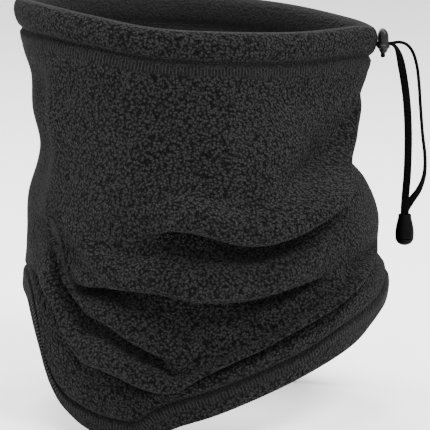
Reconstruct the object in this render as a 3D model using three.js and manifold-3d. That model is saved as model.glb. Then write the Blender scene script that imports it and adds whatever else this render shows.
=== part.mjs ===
// Neck gaiter: a tube of fleece, worn slouched round the neck, with a drawcord round its top edge.
// Millimetres, +Z up, the wearer faces -Y and the cord lock is on the +X side. The origin is under the
// middle of the tube, on the surface that the lowest arcs of the hem stand on.
import * as THREE from "three";
import { mergeVertices } from "three/addons/utils/BufferGeometryUtils.js";
import Module from "manifold-3d";

const wasm = await Module();
wasm.setup();

// Overall sizes of the draped tube
const RIM_HEIGHT = 204; // the highest point of the top edge, at the side away from the lock
const HALF_WIDTH = 92;
const HALF_DEPTH = 84;
const CLOTH = 2.2; // fleece thickness
const GAP = 0.3; // clearance between pieces that touch

// Flat braided cord
const CORD_WIDTH = 3.8;
const CORD_THICKNESS = 1.6;
const STRAND_SPACING = CORD_WIDTH + GAP; // the two strands lie side by side through the lock

// Top edge: the cloth is folded inwards round the cord and sewn down; distances down from the edge
const CORD_PLAY = 0.6; // free space on each face of the cord
const CHANNEL_GAP = CORD_THICKNESS + 2 * CORD_PLAY;
const CHANNEL_MIDDLE = CLOTH + CHANNEL_GAP / 2; // in from the outer face
const CHANNEL_TOP = 3.2;
const CORD_BELOW_RIM = CHANNEL_TOP + 3.3 + CORD_WIDTH / 2;
const CHANNEL_BOTTOM = CORD_BELOW_RIM + CORD_WIDTH / 2 + 2.3;
const LADDER_HEIGHT = 5;
const LADDER_FROM_STITCH = 1.5;
const TOP_STITCH = CHANNEL_BOTTOM + 1.9;
const TOP_LADDER_TOP = TOP_STITCH + LADDER_FROM_STITCH;
const TOP_LADDER_BOTTOM = TOP_LADDER_TOP + LADDER_HEIGHT;
const TOP_FLAP = TOP_LADDER_BOTTOM + 2; // where the folded-in cloth ends
const TOP_BAND = TOP_FLAP + 3; // this much of the top keeps its true height

// Bottom edge: turned in once and sewn; distances up from the edge
const BOTTOM_STITCH = 13;
const BOTTOM_LADDER_TOP = BOTTOM_STITCH - LADDER_FROM_STITCH;
const BOTTOM_LADDER_BOTTOM = BOTTOM_LADDER_TOP - LADDER_HEIGHT;
const BOTTOM_FLAP = BOTTOM_STITCH + 2.5;
const BOTTOM_BAND = BOTTOM_FLAP + 3.5;

// Threads
const THREAD_THICKNESS = 0.6;
const THREAD_WIDTH = 0.9;
const BOTTOM_SEWN = [BOTTOM_LADDER_BOTTOM, BOTTOM_LADDER_TOP, BOTTOM_STITCH - THREAD_WIDTH, BOTTOM_STITCH];
const TOP_SEWN = [TOP_LADDER_BOTTOM, TOP_LADDER_TOP, TOP_STITCH + THREAD_WIDTH, TOP_STITCH].map(
  (below) => RIM_HEIGHT - below,
);
const SEAM_ANGLE = 90; // the closing seam is at the middle of the back
const SEAM_WIDTH = 3;

// Slit at the tip of the rim, where both ends of the cord come out
const POCKET_HEIGHT = CORD_WIDTH + 1.8;
const POCKET_WIDTH = STRAND_SPACING + CORD_WIDTH + 2.5;
const POCKET_DEPTH = CLOTH + CHANNEL_GAP + CORD_PLAY;

// Cord lock: an oval barrel with a domed top and a plunger whose nose sticks out below
const LOCK_RADIUS = 3.3;
const LOCK_WALL = 0.8;
const LOCK_CROWN = 1.3; // thickness of the domed top
const LOCK_HOLE_DEPTH = 7.3; // from the top of the dome to the middle of the cord hole
const LOCK_TAPER = 2;
const LOCK_FROM_TIP = 0.7; // free cord between the tip of the rim and the barrel
const HOLE_HALF_HEIGHT = CORD_THICKNESS / 2 + GAP;
const HOLE_WIDTH = STRAND_SPACING + CORD_WIDTH + 2 * GAP;
const LOCK_SPREAD = HOLE_WIDTH / 2 - 0.85; // each half of the round barrel is moved out by this
const BORE_RADIUS = LOCK_RADIUS - LOCK_WALL;
const BORE_PAST = 1; // cutting shapes run past the openings they make by this

// Plunger and spring; heights from the top of the dome
const PLUNGER_TRAVEL = 1.5;
const PLUNGER_WEB = 1; // plunger material above the cord
const PLUNGER_FLOOR = 0.8;
const PLUNGER_ROUND = 0.3;
const PLUNGER_RADIUS = BORE_RADIUS - GAP;
const PLUNGER_TOP = -LOCK_HOLE_DEPTH + HOLE_HALF_HEIGHT + PLUNGER_WEB;
const PLUNGER_BOTTOM = -LOCK_HOLE_DEPTH - HOLE_HALF_HEIGHT - PLUNGER_TRAVEL - PLUNGER_FLOOR;
const LOCK_HEIGHT = -PLUNGER_BOTTOM + 0.7;
const NOSE_RADIUS = 1.35;
const NOSE_LENGTH = 3.4;
const NOSE_ROOT = 0.2; // the nose runs this far into the plunger
const SPRING_RADIUS = BORE_RADIUS - 1;
const SPRING_WIRE = 0.4;
const SPRING_TURNS = 3;

// Cord end: a teardrop bell over the knot, closed below by a plug
const END_HEIGHT = 15.4;
const END_WALL = 0.7;
const STRAND_APART = CORD_THICKNESS / 2 + GAP; // each strand's middle from the end's axis, face to face
const END_MOUTH = Math.hypot(CORD_WIDTH / 2, CORD_THICKNESS + GAP) + END_WALL + 0.7;
const END_RADIUS = END_MOUTH + 0.6;
const END_WAIST = 6; // depth at which the bell starts to swell
const END_SHOULDER = 9.4; // depth at which it is at its widest
const END_PLUG = 3.6; // height of the plug below the parting line
const END_PLUG_STEM = 1.6; // how far the plug goes up into the bell
const STRAND_IN_END = 3.4;
const KNOT_RADIUS = END_RADIUS - END_WALL - 1.5;
const KNOT_HEIGHT = 4.6;

// Where the cord end hangs, from the middle of the lock's cord hole
const END_OUT = 11.6;
const STRAND_DROP = 87;
const STRAND_LEAN = 0.3; // the strands enter this far to each side of the end's axis

// Facets
const FACETS_AROUND = 48;
const ROWS = 22;
const FACETS_SMALL = 20;
const CORD_STEPS = 30;

const RADIANS = Math.PI / 180;

/** A smooth function through [place, value] points, level past both ends. */
function through(points) {
  const places = points.map((point) => point[0]);
  const values = points.map((point) => point[1]);
  const curve = new THREE.CubicInterpolant(places, values, 1);
  return (place) => curve.evaluate(place)[0];
}

/** A smooth function through [degrees, value] points that closes on itself round the tube. */
function aroundThrough(points) {
  const turned = (turn) => points.map(([degrees, value]) => [degrees + turn, value]);
  return through([...turned(-360), ...points, ...turned(360)]);
}

// How far the top edge dips below RIM_HEIGHT, by degrees round from +X
const rimDip = aroundThrough([
  [-180, 0], [-150, 1], [-125, 5], [-105, 9.5], [-80, 12], [-55, 13.7], [-25, 13.2],
  [0, 14.5], [30, 11], [60, 6], [90, 3], [135, 1],
]);

// How far the hem stands above the floor: it rises over both shoulders, and rests front and back
const hemRise = aroundThrough([
  [-180, 60], [-163, 58.5], [-155, 47], [-150.5, 35.5], [-148, 23], [-144.5, 13], [-140, 6],
  [-134, 2.5], [-129, 0.3], [-125, -1], [-110, -1], [-105, 4], [-98.5, 8.5], [-85, 14.5], [-70, 22],
  [-48, 32.5], [-24, 42], [0, 54], [20, 50], [34, 30], [44, 9], [51, -1], [90, -1], [132, -1],
  [140, 4], [147, 20], [153, 42], [163, 57],
]);

// How far the sides draw in from the full half sizes, by height above the floor
const leftInset = through([
  [0, 16.5], [15, 9], [40, 4], [66, 5], [90, 7.5], [110, 8.5], [125, 12], [135, 13], [150, 10.5],
  [168, 10.5], [179, 6.5], [191, 4.2], [204, 0.8],
]);
const rightInset = through([
  [0, 16], [20, 12], [45, 6], [58, 0.8], [72, 1.2], [81, 6], [89, 4], [100, 4.5], [115, 11],
  [128, 22], [140, 20.5], [152, 15.5], [165, 11], [180, 7.5], [190, 6.3],
]);
const depthInset = through([[0, 6], [60, 2], [120, 0], [170, 6], [204, 10]]);

// The lock end of the tube draws to a tip near the top
const tipPinch = through([[110, 0], [140, 0.3], [165, 0.6]]);
const PINCH_SHARPNESS = 3;

// Slouch folds: each has a line that it hangs over, a depth, and a reach above and below the line
const FOLDS = [
  {
    reach: 15,
    line: [[-180, 104], [-111, 99], [-90, 102], [-75, 97], [-55, 101], [-38, 109], [-20, 123],
      [0, 133], [40, 126], [90, 112], [140, 106]],
    depth: [[-180, 0], [-140, 1.5], [-111, 4], [-85, 6], [-60, 7], [-30, 4], [0, 0], [40, 5],
      [90, 7], [140, 3]],
  },
  {
    reach: 12,
    line: [[-180, 86], [-133, 78], [-114, 75], [-93, 71], [-70, 73], [-52, 76], [0, 84],
      [60, 70], [90, 66], [140, 74]],
    depth: [[-180, 0], [-133, 1], [-110, 5], [-70, 5], [-45, 2], [0, 0], [60, 4], [90, 5],
      [140, 2]],
  },
  {
    reach: 13,
    line: [[-180, 84], [-157, 73], [-147, 70], [-140, 56], [-130, 40], [-111, 30], [-99, 27],
      [-90, 34], [-69, 48], [-47, 62], [-28, 73], [0, 84], [50, 56], [90, 36], [130, 40],
      [150, 64]],
    depth: [[-180, 0], [-150, 1], [-130, 4], [-100, 5], [-60, 5], [-28, 3], [0, 0], [50, 4],
      [90, 5], [130, 4], [155, 0]],
  },
].map((fold) => ({
  reach: fold.reach,
  line: aroundThrough(fold.line),
  depth: aroundThrough(fold.depth),
}));

/** The swell above a fold's line and the tuck below it, from the height in reaches above the line. */
function foldShape(rise) {
  const swell = Math.exp(-1.5 * (rise - 0.9) ** 2);
  const tuck = 0.8 * Math.exp(-4 * (rise + 0.5) ** 2);
  return swell - tuck;
}

/** How far the folds push the cloth out at a place. */
function foldOffset(degrees, height) {
  const push = (fold) => fold.depth(degrees) * foldShape((height - fold.line(degrees)) / fold.reach);
  return FOLDS.reduce((sum, fold) => sum + push(fold), 0);
}

/** Height above the floor of a place on the cloth, where along is 0 at the hem and RIM_HEIGHT at the rim. */
function heightAt(degrees, along) {
  const hem = hemRise(degrees);
  const rim = RIM_HEIGHT - rimDip(degrees);
  const fromRim = RIM_HEIGHT - along;
  if (along <= BOTTOM_BAND) return hem + along;
  if (fromRim <= TOP_BAND) return rim - fromRim;
  const share = (along - BOTTOM_BAND) / (RIM_HEIGHT - TOP_BAND - BOTTOM_BAND);
  return THREE.MathUtils.lerp(hem + BOTTOM_BAND, rim - TOP_BAND, share);
}

/** The unfolded outline of the tube at a height, seen from above. */
function outline(degrees, height) {
  const across = Math.cos(degrees * RADIANS);
  const inset = across < 0 ? leftInset(height) : rightInset(height);
  const narrowing = 1 - tipPinch(height) * ((1 + across) / 2) ** PINCH_SHARPNESS;
  const depth = (HALF_DEPTH - depthInset(height)) * Math.sin(degrees * RADIANS) * narrowing;
  return new THREE.Vector2((HALF_WIDTH - inset) * across, depth);
}

/** A point of the draped tube: outward is measured from the cloth's outer face. */
function drape(degrees, along, outward) {
  const height = heightAt(degrees, along);
  const before = outline(degrees - 1, height);
  const after = outline(degrees + 1, height);
  const tangent = after.sub(before).normalize();
  const push = foldOffset(degrees, height) + outward;
  const place = outline(degrees, height);
  return new THREE.Vector3(place.x + tangent.y * push, place.y - tangent.x * push, Math.max(0, height));
}

/** Moves every vertex of a geometry through a function of its position. */
function moveVertices(geometry, move) {
  const position = geometry.getAttribute("position");
  const vertex = new THREE.Vector3();
  for (let i = 0; i < position.count; i += 1) {
    vertex.fromBufferAttribute(position, i);
    const moved = move(vertex);
    position.setXYZ(i, moved.x, moved.y, moved.z);
  }
  return geometry;
}

/** The same shape with only positions and shared vertices. */
function welded(geometry) {
  const bare = geometry.index ? geometry.toNonIndexed() : geometry.clone();
  bare.deleteAttribute("normal");
  bare.deleteAttribute("uv");
  return mergeVertices(bare, 1e-4);
}

function toSolid(geometry) {
  const shared = welded(geometry);
  const vertProperties = new Float32Array(shared.getAttribute("position").array);
  const triVerts = new Uint32Array(shared.index.array);
  return new wasm.Manifold(new wasm.Mesh({ numProp: 3, vertProperties, triVerts }));
}

function toGeometry(solid) {
  const mesh = solid.getMesh();
  const geometry = new THREE.BufferGeometry();
  geometry.setAttribute("position", new THREE.BufferAttribute(mesh.vertProperties, 3));
  geometry.setIndex(new THREE.BufferAttribute(mesh.triVerts, 1));
  return geometry;
}

/** A shape less the shapes that are cut from it. */
function cut(geometry, ...tools) {
  return toGeometry(tools.reduce((solid, tool) => solid.subtract(toSolid(tool)), toSolid(geometry)));
}

// A straight tube of this radius is turned first, and then draped
const STRAIGHT_RADIUS = 80;

/** A closed section of [outward, along] points, turned into a ring and draped with the tube. */
function drapedRing(section) {
  const points = section.map(([outward, along]) => new THREE.Vector2(STRAIGHT_RADIUS + outward, along));
  points.push(points[0].clone());
  const ring = new THREE.LatheGeometry(points, FACETS_AROUND).rotateX(Math.PI / 2);
  const toDraped = (vertex) => {
    const outward = Math.hypot(vertex.x, vertex.y) - STRAIGHT_RADIUS;
    return drape(Math.atan2(vertex.y, vertex.x) / RADIANS, vertex.z, outward);
  };
  return moveVertices(ring, toDraped);
}

/** Places along the cloth between its two edge bands, where every draped piece has a row. */
function middlePlaces() {
  const span = RIM_HEIGHT - TOP_BAND - BOTTOM_BAND;
  return Array.from({ length: ROWS + 1 }, (_, row) => BOTTOM_BAND + (span * row) / ROWS);
}

function fleeceTube() {
  const top = RIM_HEIGHT;
  const channelFace = -2 * CLOTH - CHANNEL_GAP;
  const upward = [
    [-1, 0], [-0.2, 1.4],
    ...[...BOTTOM_SEWN, ...middlePlaces(), ...TOP_SEWN].map((along) => [0, along]),
    [0, top - CHANNEL_TOP], [-1.4, top - 0.8],
  ];
  const downward = [
    [channelFace / 2, top], [channelFace + 1.4, top - 0.8], [channelFace, top - CHANNEL_TOP],
    [channelFace, top - CHANNEL_BOTTOM + 1], [-2 * CLOTH, top - TOP_STITCH],
    [-2 * CLOTH, top - TOP_FLAP], [-CLOTH, top - TOP_FLAP - 1],
    ...middlePlaces().reverse().map((along) => [-CLOTH, along]),
    [-CLOTH, BOTTOM_FLAP + 1], [-2 * CLOTH, BOTTOM_FLAP], [-2 * CLOTH, BOTTOM_LADDER_BOTTOM],
    [-2 * CLOTH + 0.2, 1.4], [-2 * CLOTH + 1, 0],
  ];
  const cloth = drapedRing([...upward, ...downward]);
  return cut(cloth, cordChannel(), cordPocket());
}

function cordChannel() {
  const outer = -CLOTH;
  const inner = -CLOTH - CHANNEL_GAP;
  const low = RIM_HEIGHT - CHANNEL_BOTTOM;
  const high = RIM_HEIGHT - CHANNEL_TOP;
  return drapedRing([[inner, low], [outer, low], [outer, high], [inner, high]]);
}

/** Outermost point of the rim at the height of the cord, where the cord comes out. */
const tip = drape(0, RIM_HEIGHT - CORD_BELOW_RIM, 0);

function cordPocket() {
  const past = 2;
  const box = new THREE.BoxGeometry(POCKET_DEPTH + past, POCKET_WIDTH, POCKET_HEIGHT);
  return box.translate(tip.x - POCKET_DEPTH / 2 + past / 2, tip.y, tip.z);
}

/** The same geometry with the front and back of every face changed over. */
function reversed(geometry) {
  const corners = geometry.index;
  for (let i = 0; i < corners.count; i += 3) {
    const second = corners.getX(i + 1);
    corners.setX(i + 1, corners.getX(i + 2));
    corners.setX(i + 2, second);
  }
  return geometry;
}

/** A thread ring on the outer face of the cloth; its inner face has the facets of the cloth under it. */
function threadRing(low, high) {
  const proud = GAP + THREAD_THICKNESS;
  return reversed(drapedRing([[GAP, low], [GAP, high], [proud, high], [proud, low]]));
}

function closingSeam() {
  const places = [BOTTOM_FLAP, ...middlePlaces(), RIM_HEIGHT - TOP_FLAP];
  const strip = new THREE.BoxGeometry(SEAM_WIDTH, THREAD_THICKNESS, 1, 1, 1, places.length - 1);
  const degreesEach = 1 / (HALF_WIDTH * RADIANS);
  return moveVertices(strip, (vertex) => {
    const row = Math.round((vertex.z + 0.5) * (places.length - 1));
    const outward = GAP + THREAD_THICKNESS / 2 + vertex.y;
    return drape(SEAM_ANGLE - vertex.x * degreesEach, places[row], outward);
  });
}

/** The cord's flat section with rounded edges, wide along x. */
function cordSection() {
  const wide = CORD_WIDTH / 2;
  const thick = CORD_THICKNESS / 2;
  const flat = wide - thick * 0.8;
  const corners = [
    [flat, -thick], [wide, -thick * 0.4], [wide, thick * 0.4], [flat, thick],
    [-flat, thick], [-wide, thick * 0.4], [-wide, -thick * 0.4], [-flat, -thick],
  ];
  return new THREE.Shape(corners.map(([x, y]) => new THREE.Vector2(x, y)));
}

/** A flat cord through stations, each a centre and the direction of its width. */
function flatCord(stations) {
  const steps = stations.length - 1;
  const straight = new THREE.ExtrudeGeometry(cordSection(), { depth: 1, steps, bevelEnabled: false });
  const frames = stations.map(({ centre, wide }, i) => {
    const ahead = stations[Math.min(i + 1, steps)].centre;
    const behind = stations[Math.max(i - 1, 0)].centre;
    const along = ahead.clone().sub(behind).normalize();
    const across = wide.clone().addScaledVector(along, -wide.dot(along)).normalize();
    return { centre, across, through: along.clone().cross(across) };
  });
  return moveVertices(straight, (vertex) => {
    const { centre, across, through: thick } = frames[Math.round(vertex.z * steps)];
    return centre.clone().addScaledVector(across, vertex.x).addScaledVector(thick, vertex.y);
  });
}

/** The cord round the channel: both ends turn flat and come out side by side at the tip. */
function drawcordInChannel() {
  const degreesEach = 360 / FACETS_AROUND;
  const stations = [];
  for (let step = 2; step <= FACETS_AROUND - 2; step += 1) {
    const low = drape(step * degreesEach, RIM_HEIGHT - CORD_BELOW_RIM - CORD_WIDTH / 2, -CHANNEL_MIDDLE);
    const high = drape(step * degreesEach, RIM_HEIGHT - CORD_BELOW_RIM + CORD_WIDTH / 2, -CHANNEL_MIDDLE);
    stations.push({ centre: low.clone().lerp(high, 0.5), wide: high.sub(low).normalize() });
  }
  return flatCord([...cordMouth(1).reverse(), ...stations, ...cordMouth(-1)]);
}

/** The last stations of the cord before it leaves the rim, on the back (1) or front (-1) side. */
function cordMouth(side) {
  const up = new THREE.Vector3(0, 0, 1);
  const acrossExit = new THREE.Vector3(0, -side, 0);
  const exit = side * (STRAND_SPACING / 2);
  const stations = [[0.94, 0.5, 0.35], [0.45, 0.08, 0.75], [0.03, 0, 1]];
  return stations.map(([inside, apart, turned]) => ({
    centre: new THREE.Vector3(tip.x - inside * CHANNEL_MIDDLE, tip.y + exit + side * apart, tip.z),
    wide: up.clone().lerp(acrossExit, turned).normalize(),
  }));
}

// The lock's own origin is on its axis at the top of its dome
const lockPlace = new THREE.Vector3(tip.x + LOCK_FROM_TIP + LOCK_RADIUS, tip.y, tip.z + LOCK_HOLE_DEPTH);

/** A turned solid of [radius, height] points, pulled apart along y into an oval one. */
function turnedOval(profile) {
  const points = profile.map(([radius, height]) => new THREE.Vector2(radius, height));
  const halfFacet = Math.PI / FACETS_SMALL;
  const round = new THREE.LatheGeometry(points, FACETS_SMALL, halfFacet).rotateX(Math.PI / 2);
  return moveVertices(round, (vertex) => {
    const onAxis = Math.abs(vertex.y) < 1e-6;
    const shift = onAxis ? 0 : Math.sign(vertex.y) * LOCK_SPREAD;
    return new THREE.Vector3(vertex.x, vertex.y + shift, vertex.z);
  });
}

function cordHole(halfHeight, middle) {
  return new THREE.BoxGeometry(4 * LOCK_RADIUS, HOLE_WIDTH, 2 * halfHeight).translate(0, 0, middle);
}

function lockBarrel() {
  const r = LOCK_RADIUS;
  const outer = turnedOval([
    [0, -LOCK_HEIGHT], [BORE_RADIUS + LOCK_WALL / 2, -LOCK_HEIGHT], [r, -LOCK_HEIGHT + LOCK_TAPER],
    [r, -r], [r * 0.92, -r * 0.55], [r * 0.7, -r * 0.22], [r * 0.38, -r * 0.05], [0, 0],
  ]);
  const bore = turnedOval([
    [0, -LOCK_HEIGHT - BORE_PAST], [BORE_RADIUS, -LOCK_HEIGHT - BORE_PAST],
    [BORE_RADIUS, -LOCK_CROWN - BORE_RADIUS / 2], [BORE_RADIUS * 0.6, -LOCK_CROWN], [0, -LOCK_CROWN],
  ]);
  return cut(outer, bore, cordHole(HOLE_HALF_HEIGHT, -LOCK_HOLE_DEPTH));
}

function lockPlunger() {
  const r = PLUNGER_RADIUS;
  const body = turnedOval([
    [0, PLUNGER_BOTTOM], [r - PLUNGER_ROUND, PLUNGER_BOTTOM], [r, PLUNGER_BOTTOM + PLUNGER_ROUND],
    [r, PLUNGER_TOP - PLUNGER_ROUND], [r - PLUNGER_ROUND, PLUNGER_TOP], [0, PLUNGER_TOP],
  ]);
  const nose = new THREE.LatheGeometry(
    [
      [0, -NOSE_LENGTH], [NOSE_RADIUS * 0.6, -NOSE_LENGTH * 0.94], [NOSE_RADIUS, -NOSE_LENGTH * 0.74],
      [NOSE_RADIUS, NOSE_ROOT], [0, NOSE_ROOT],
    ].map(([radius, height]) => new THREE.Vector2(radius, height)),
    FACETS_SMALL,
  ).rotateX(Math.PI / 2).translate(0, 0, PLUNGER_BOTTOM);
  const windowHalf = HOLE_HALF_HEIGHT + PLUNGER_TRAVEL / 2;
  const window = cordHole(windowHalf, -LOCK_HOLE_DEPTH - PLUNGER_TRAVEL / 2);
  return toGeometry(toSolid(body).add(toSolid(nose)).subtract(toSolid(window)));
}

/** The coil spring between the crown of the barrel and the plunger. */
function lockSpring() {
  const low = PLUNGER_TOP + GAP + SPRING_WIRE / 2;
  const high = -LOCK_CROWN - GAP - SPRING_WIRE / 2;
  const stepsPerTurn = 12;
  const steps = SPRING_TURNS * stepsPerTurn;
  const points = Array.from({ length: steps + 1 }, (_, i) => {
    const turn = (2 * Math.PI * i) / stepsPerTurn;
    const height = THREE.MathUtils.lerp(low, high, i / steps);
    return new THREE.Vector3(SPRING_RADIUS * Math.cos(turn), SPRING_RADIUS * Math.sin(turn), height);
  });
  const wire = new THREE.Shape();
  wire.absarc(0, 0, SPRING_WIRE / 2, 0, 2 * Math.PI);
  const extrudePath = new THREE.CatmullRomCurve3(points);
  return new THREE.ExtrudeGeometry(wire, { steps, curveSegments: 6, extrudePath });
}

/** A strand's route through [x, y, z, twist in degrees] points from the middle of the lock's hole. */
function strandRoute(side, free) {
  const apart = (side * STRAND_SPACING) / 2;
  const together = side * STRAND_APART;
  const end = END_OUT + side * STRAND_LEAN;
  const rim = -LOCK_RADIUS - LOCK_FROM_TIP + GAP;
  return [
    [rim, apart, 0, 0], [0, apart, 0, 0], [LOCK_RADIUS + LOCK_FROM_TIP, apart, 0, 0],
    ...free,
    [end, together, 5 - STRAND_DROP, 90], [end, together, -STRAND_DROP, 90],
  ];
}

const FRONT_STRAND = strandRoute(-1, [
  [6, -2.1, -1.6, 20], [7.7, -2.3, -5.4, 55], [9, -2.6, -11, 90], [10.6, -2.9, -20, 90],
  [11.8, -3, -30, 90], [12.5, -2.9, -42, 90], [12.6, -2.6, -54, 90], [12.3, -2.2, -65, 90],
  [11.6, -1.6, -75, 90],
]);
const BACK_STRAND = strandRoute(1, [
  [8, 2.1, 0.5, 0], [11.6, 2.3, -0.6, 0], [14.6, 2.6, -4.2, 0], [16.8, 3, -11, 5],
  [18, 3.3, -20, 8], [18.8, 3.5, -30, 10], [20, 3.5, -44, 12], [21.4, 3.2, -56, 18],
  [21, 2.7, -65, 30], [18.4, 2.1, -72, 55], [14.4, 1.6, -77.6, 80],
]);

/** A free strand from the rim through the lock to the cord end. */
function strand(route) {
  const middle = new THREE.Vector3(lockPlace.x, lockPlace.y, tip.z);
  const points = route.map(([x, y, z]) => new THREE.Vector3(x, y, z).add(middle));
  const curve = new THREE.CatmullRomCurve3(points, false, "centripetal");
  const twist = through(route.map(([, , , degrees], i) => [i / (route.length - 1), degrees]));
  const stations = Array.from({ length: CORD_STEPS + 1 }, (_, i) => {
    const share = i / CORD_STEPS;
    const along = curve.getTangent(share);
    const flat = new THREE.Vector3(0, 1, 0);
    const wide = flat.applyAxisAngle(along, twist(share) * RADIANS);
    return { centre: curve.getPoint(share), wide };
  });
  return flatCord(stations);
}

// The cord end's own origin is at the middle of its mouth
const endPlace = new THREE.Vector3(lockPlace.x + END_OUT, lockPlace.y, tip.z - STRAND_DROP + STRAND_IN_END);

/** A turned solid of [radius, depth below the mouth] points. */
function turned(profile) {
  const points = profile.map(([radius, depth]) => new THREE.Vector2(radius, -depth));
  return new THREE.LatheGeometry(points.reverse(), FACETS_SMALL).rotateX(Math.PI / 2);
}

function cordEndBell() {
  const parting = END_HEIGHT - END_PLUG;
  const outer = turned([
    [0, 0], [END_MOUTH, 0], [END_MOUTH + 0.25, END_WAIST], [END_RADIUS, END_SHOULDER],
    [END_RADIUS, parting], [0, parting],
  ]);
  const bore = END_RADIUS - END_WALL;
  const inner = turned([
    [0, -BORE_PAST], [END_MOUTH - END_WALL, -BORE_PAST], [END_MOUTH - END_WALL, END_WAIST],
    [bore, END_SHOULDER], [bore, parting + BORE_PAST], [0, parting + BORE_PAST],
  ]);
  return cut(outer, inner);
}

function cordEndPlug() {
  const parting = END_HEIGHT - END_PLUG + GAP;
  const stem = END_RADIUS - END_WALL - GAP;
  return turned([
    [0, parting - END_PLUG_STEM], [stem, parting - END_PLUG_STEM], [stem, parting], [END_RADIUS, parting],
    [END_RADIUS * 0.97, parting + END_PLUG * 0.22], [END_RADIUS * 0.84, parting + END_PLUG * 0.5],
    [END_RADIUS * 0.58, parting + END_PLUG * 0.75], [END_RADIUS * 0.26, END_HEIGHT - END_PLUG * 0.03],
    [0, END_HEIGHT],
  ]);
}

function cordKnot() {
  const knot = new THREE.SphereGeometry(KNOT_RADIUS, 12, 8);
  const middle = -STRAND_IN_END - GAP - KNOT_HEIGHT / 2;
  return knot.rotateX(Math.PI / 2).scale(1, 0.9, KNOT_HEIGHT / (2 * KNOT_RADIUS)).translate(0, 0, middle);
}

const fleece = new THREE.MeshStandardMaterial({ color: 0x29292a, roughness: 0.95, metalness: 0 });
const thread = new THREE.MeshStandardMaterial({ color: 0x161617, roughness: 0.85, metalness: 0 });
const braid = new THREE.MeshStandardMaterial({ color: 0x0b0a0c, roughness: 0.8, metalness: 0 });
const plastic = new THREE.MeshStandardMaterial({ color: 0x111113, roughness: 0.4, metalness: 0 });
const steel = new THREE.MeshStandardMaterial({ color: 0xb4b6b8, roughness: 0.3, metalness: 1 });

const gaiter = new THREE.Group();

function place(name, geometry, material, position) {
  const mesh = new THREE.Mesh(geometry, material);
  mesh.name = name;
  if (position) mesh.position.copy(position);
  gaiter.add(mesh);
}

place("fleece_tube", fleeceTube(), fleece);
place("top_hem_stitch", threadRing(TOP_SEWN[2], TOP_SEWN[3]), thread);
place("top_hem_ladder", threadRing(TOP_SEWN[0], TOP_SEWN[1]), thread);
place("bottom_hem_stitch", threadRing(BOTTOM_SEWN[2], BOTTOM_SEWN[3]), thread);
place("bottom_hem_ladder", threadRing(BOTTOM_SEWN[0], BOTTOM_SEWN[1]), thread);
place("closing_seam", closingSeam(), thread);
place("drawcord_in_channel", drawcordInChannel(), braid);
place("cord_strand_front", strand(FRONT_STRAND), braid);
place("cord_strand_back", strand(BACK_STRAND), braid);
place("lock_barrel", lockBarrel(), plastic, lockPlace);
place("lock_plunger", lockPlunger(), plastic, lockPlace);
place("lock_spring", lockSpring(), steel, lockPlace);
place("cord_end_bell", cordEndBell(), plastic, endPlace);
place("cord_end_plug", cordEndPlug(), plastic, endPlace);
place("cord_knot", cordKnot(), braid, endPlace);

export default gaiter;
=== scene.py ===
import math

import bmesh
import bpy
import numpy as np
from mathutils import Matrix, Vector


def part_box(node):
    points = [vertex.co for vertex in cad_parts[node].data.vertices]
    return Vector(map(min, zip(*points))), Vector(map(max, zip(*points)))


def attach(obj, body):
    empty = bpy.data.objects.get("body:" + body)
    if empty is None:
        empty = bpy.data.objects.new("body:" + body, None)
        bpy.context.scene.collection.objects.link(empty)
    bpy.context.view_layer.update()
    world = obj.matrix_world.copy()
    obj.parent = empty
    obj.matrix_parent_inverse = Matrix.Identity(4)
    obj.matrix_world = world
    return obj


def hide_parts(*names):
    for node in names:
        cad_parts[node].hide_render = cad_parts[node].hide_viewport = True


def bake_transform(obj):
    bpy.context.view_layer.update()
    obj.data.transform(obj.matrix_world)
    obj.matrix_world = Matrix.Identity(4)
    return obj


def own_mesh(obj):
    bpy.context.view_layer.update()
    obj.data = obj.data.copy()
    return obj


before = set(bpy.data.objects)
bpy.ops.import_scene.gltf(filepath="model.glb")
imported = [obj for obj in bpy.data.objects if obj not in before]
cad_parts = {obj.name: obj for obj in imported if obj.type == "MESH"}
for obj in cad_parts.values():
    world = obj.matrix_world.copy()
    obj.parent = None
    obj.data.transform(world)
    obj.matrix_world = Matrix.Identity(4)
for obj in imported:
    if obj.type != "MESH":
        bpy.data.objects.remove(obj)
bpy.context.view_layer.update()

MM = 0.001

# ---------------------------------------------------------------------------------------------
# Camera, lights and floor
# ---------------------------------------------------------------------------------------------

AIM = Vector((0.0073, 0.0, 0.0970))
CAMERA_ELEVATION = math.radians(9)
CAMERA_DISTANCE = 1.150
LENS = 196.5


def set_camera():
    data = bpy.data.cameras.new("camera")
    data.lens = LENS
    data.sensor_width = 36
    data.clip_end = 50
    camera = bpy.data.objects.new("camera", data)
    back = Vector((0, -math.cos(CAMERA_ELEVATION), math.sin(CAMERA_ELEVATION)))
    camera.location = AIM + back * CAMERA_DISTANCE
    camera.rotation_euler = (math.pi / 2 - CAMERA_ELEVATION, 0, 0)
    bpy.context.scene.collection.objects.link(camera)
    bpy.context.scene.camera = camera


def area_light(name, place, size, power):
    data = bpy.data.lights.new(name, "AREA")
    data.shape = "DISK"
    data.size = size
    data.energy = power
    light = bpy.data.objects.new(name, data)
    light.location = place
    light.rotation_euler = (AIM - light.location).to_track_quat("-Z", "Y").to_euler()
    bpy.context.scene.collection.objects.link(light)


def set_lights():
    area_light("key", Vector((0.9, -1.3, 1.8)), 0.8, 84)
    area_light("fill", Vector((-1.5, -1.4, 0.8)), 1.2, 22)
    area_light("top", Vector((-0.2, 0.1, 2.0)), 1.4, 84)
    world = bpy.data.worlds.new("studio")
    world.use_nodes = True
    background = world.node_tree.nodes["Background"]
    background.inputs["Color"].default_value = (1, 1, 1, 1)
    background.inputs["Strength"].default_value = 1.65
    bpy.context.scene.world = world


# ---------------------------------------------------------------------------------------------
# Shader helpers
# ---------------------------------------------------------------------------------------------


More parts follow.
